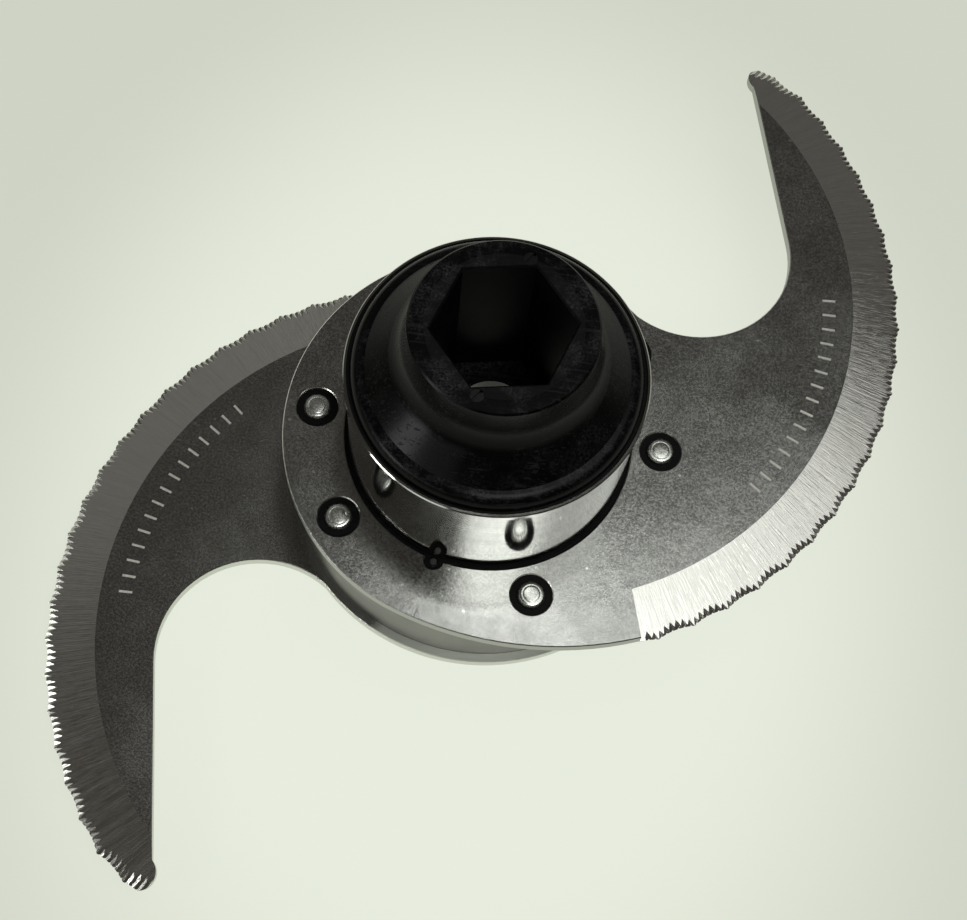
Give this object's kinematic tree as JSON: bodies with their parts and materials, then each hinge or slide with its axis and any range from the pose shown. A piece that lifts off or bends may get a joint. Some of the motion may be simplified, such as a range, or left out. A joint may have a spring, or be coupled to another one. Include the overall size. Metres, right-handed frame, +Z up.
{
  "type": "food processor blade",
  "caption": "Food processor blade: curved serrated steel blades on a drum, with a black moulded hub that has a hexagonal drive socket.",
  "frame": {"origin": "hub axis where it meets the plane that the hub's foot and the ring nut stand on", "axes": "+Z up along the hub axis, +X towards the upper blade's side, whose cutting edge sweeps round from -Y to +Y"},
  "size_m": [0.1405, 0.1608, 0.0654],
  "materials": {
    "hub": "black moulded, satin gloss, scuffed",
    "drive_insert": "black, matt",
    "insert_keys": "darkened steel",
    "collar": "polished steel",
    "top_seal": "black",
    "upper_blade": "ground steel with a lighter ground bevel",
    "lower_blade": "ground steel with a lighter ground bevel",
    "upper_pins": "turned flat heads",
    "upper_bushes": "black",
    "upper_locator": "dark steel",
    "upper_gap_ring": "black",
    "lower_pins": "turned flat heads",
    "lower_bushes": "black",
    "lower_locator": "dark steel",
    "lower_gap_ring": "black",
    "spacer_band": "polished",
    "spacer_core": "turned",
    "ring_nut": "turned"
  },
  "bodies": {
    "root": {"hub": "hub", "drive_insert": "drive_insert", "insert_keys": "insert_keys", "collar": "collar", "top_seal": "top_seal", "upper_blade": "upper_blade", "lower_blade": "lower_blade", "upper_pins": "upper_pins", "upper_bushes": "upper_bushes", "upper_locator": "upper_locator", "upper_gap_ring": "upper_gap_ring", "lower_pins": "lower_pins", "lower_bushes": "lower_bushes", "lower_locator": "lower_locator", "lower_gap_ring": "lower_gap_ring", "spacer_band": "spacer_band", "spacer_core": "spacer_core", "ring_nut": "ring_nut"}
  },
  "joints": []
}
